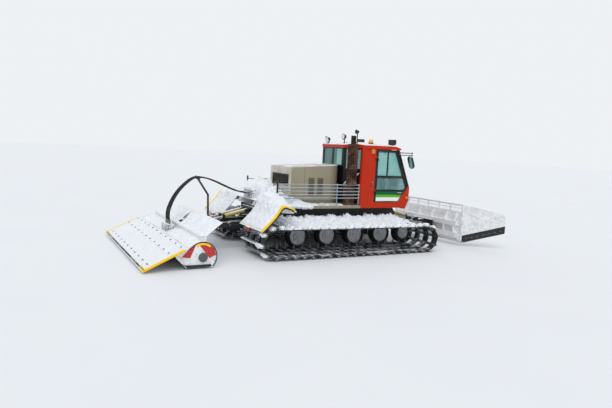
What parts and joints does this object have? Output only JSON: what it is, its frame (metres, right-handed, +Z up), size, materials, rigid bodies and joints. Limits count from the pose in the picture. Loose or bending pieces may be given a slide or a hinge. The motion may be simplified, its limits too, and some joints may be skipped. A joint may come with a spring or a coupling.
{
  "type": "snowcat groomer",
  "caption": "Tracked snow groomer with an orange-red cab, olive engine cover, folding front blade and rear tiller with a finisher mat",
  "frame": {"origin": "centre of the bounding box's base, on the ground", "axes": "+X forward, +Y to the driver's left, +Z up"},
  "size_m": [9.7976, 4.7, 3.0969],
  "materials": {
    "chassis_black": "satin black chassis paint, wet and snowy",
    "track_rubber": "black rubber belts with bright aluminium shoes, packed with snow",
    "wheel_grey": "light grey wheel discs, scuffed and frosted",
    "tyre_black": "black tyres",
    "olive_paint": "olive drab paint, dusty",
    "rail_paint": "grey-green tube paint",
    "engine_grey": "cast engine block",
    "grille_black": "black wire grille",
    "rusty_steel": "rusty perforated heat shield",
    "white_guard": "white guard with yellow edging, snow-covered",
    "lamp_red": "red lens",
    "cab_red": "orange-red gloss cab paint",
    "frame_black": "black satin frame paint",
    "cab_glass": "green-tinted glass",
    "seat_fabric": "dark woven seat cloth",
    "dash_plastic": "dark grained plastic",
    "lamp_black": "black lamp housings",
    "beacon_amber": "amber lens",
    "arm_black": "dark grey frame paint",
    "cylinder_paint": "yellow cylinder paint, worn",
    "rod_chrome": "hard chrome",
    "blade_white": "white paint under frost",
    "edge_steel": "black steel cutting edge",
    "mat_rubber": "light rubber mat with yellow ends, snow-covered",
    "shaft_steel": "worn tine steel",
    "hose_rubber": "black hydraulic hose",
    "floor_dark": "dark floor mat"
  },
  "bodies": {
    "root": {"chassis_tub": "chassis_black", "axle_arms": "chassis_black", "track_right": "track_rubber", "track_left": "track_rubber", "wheels_right": "wheel_grey", "wheels_left": "wheel_grey", "tyres_right": "tyre_black", "tyres_left": "tyre_black", "drive_sprockets": "chassis_black", "front_carrier": "chassis_black", "rear_carrier": "chassis_black", "deck": "olive_paint", "side_rails": "rail_paint", "engine_cover": "olive_paint", "engine_block": "engine_grey", "rear_grille": "grille_black", "exhaust": "rusty_steel", "rear_apron": "white_guard", "tail_lamps": "lamp_red", "cab_floor": "floor_dark", "cab_back": "cab_red", "cab_side_right": "cab_red", "cab_side_left": "cab_red", "cab_front": "frame_black", "cab_roof": "cab_red", "cab_glass": "cab_glass", "seats": "seat_fabric", "dashboard": "dash_plastic", "roof_lamps": "lamp_black", "beacon": "beacon_amber", "mirrors": "lamp_black", "hose_bulkhead": "arm_black"},
    "door_right": {"door_right": "frame_black", "door_glass_right": "cab_glass"},
    "door_left": {"door_left": "frame_black", "door_glass_left": "cab_glass"},
    "push_frame": {"push_frame": "arm_black"},
    "lift_barrels": {"lift_barrels": "cylinder_paint"},
    "lift_rods": {"lift_rods": "rod_chrome"},
    "blade": {"blade_yoke": "arm_black", "blade": "blade_white", "blade_edge": "edge_steel"},
    "wing_right": {"wing_right": "blade_white"},
    "wing_left": {"wing_left": "blade_white"},
    "tiller": {"tiller_arm": "arm_black", "tiller_hood": "blade_white", "finisher_mat": "mat_rubber", "tiller_shield": "blade_white", "tiller_motor": "arm_black", "hose_mast": "arm_black", "tiller_hoses": "hose_rubber", "lift_hoses": "hose_rubber"},
    "tiller_barrels": {"tiller_barrels": "cylinder_paint"},
    "tiller_rods": {"tiller_rods": "rod_chrome"},
    "tiller_shaft": {"tiller_shaft": "shaft_steel"}
  },
  "joints": [
    {"name": "door_right_hinge", "type": "hinge", "parent": "root", "child": "door_right", "pos_m": [1.3618, -0.994, 1.6], "axis": [0, 0, -1], "range_deg": [0, 75]},
    {"name": "door_left_hinge", "type": "hinge", "parent": "root", "child": "door_left", "pos_m": [1.3618, 0.994, 1.6], "axis": [0, 0, 1], "range_deg": [0, 75]},
    {"name": "blade_lift", "type": "hinge", "parent": "root", "child": "push_frame", "pos_m": [2.5058, 0, 0.56], "axis": [0, -1, 0], "range_deg": [-3, 18]},
    {"name": "lift_barrel_turn", "type": "hinge", "parent": "root", "child": "lift_barrels", "pos_m": [2.4658, 0, 0.86], "axis": [0, -1, 0], "range_deg": [-3, 17]},
    {"name": "lift_rod_slide", "type": "slide", "parent": "lift_barrels", "child": "lift_rods", "axis": [0.9785, 0, -0.206], "range_m": [-0.1, 0.02]},
    {"name": "blade_angle", "type": "hinge", "parent": "push_frame", "child": "blade", "pos_m": [3.6858, 0, 0.44], "axis": [0, 0, 1], "range_deg": [-20, 20]},
    {"name": "wing_right_fold", "type": "hinge", "parent": "blade", "child": "wing_right", "pos_m": [4.0758, -1.495, 0.6], "axis": [0, 0, 1], "range_deg": [-60, 10]},
    {"name": "wing_left_fold", "type": "hinge", "parent": "blade", "child": "wing_left", "pos_m": [4.0758, 1.495, 0.6], "axis": [0, 0, -1], "range_deg": [-60, 10]},
    {"name": "tiller_lift", "type": "hinge", "parent": "root", "child": "tiller", "pos_m": [-2.4042, 0, 0.6], "axis": [0, 1, 0], "range_deg": [0, 25], "deforming": ["lift_hoses"]},
    {"name": "tiller_barrel_turn", "type": "hinge", "parent": "root", "child": "tiller_barrels", "pos_m": [-1.9342, 0, 0.93], "axis": [0, 1, 0], "range_deg": [-0.5, 11]},
    {"name": "tiller_rod_slide", "type": "slide", "parent": "tiller_barrels", "child": "tiller_rods", "axis": [-0.9701, 0, -0.2425], "range_m": [-0.115, 0.005]},
    {"name": "tiller_spin", "type": "hinge", "parent": "tiller", "child": "tiller_shaft", "pos_m": [-3.6742, 0, 0.25], "axis": [0, 1, 0], "continuous": true}
  ],
  "couplings": [
    {"joint": "lift_barrel_turn", "follows": "blade_lift", "ratio": 0.9366},
    {"joint": "lift_rod_slide", "follows": "blade_lift", "m_per_rad": -0.2944},
    {"joint": "tiller_barrel_turn", "follows": "tiller_lift", "ratio": 0.4284},
    {"joint": "tiller_rod_slide", "follows": "tiller_lift", "m_per_rad": -0.2468}
  ]
}
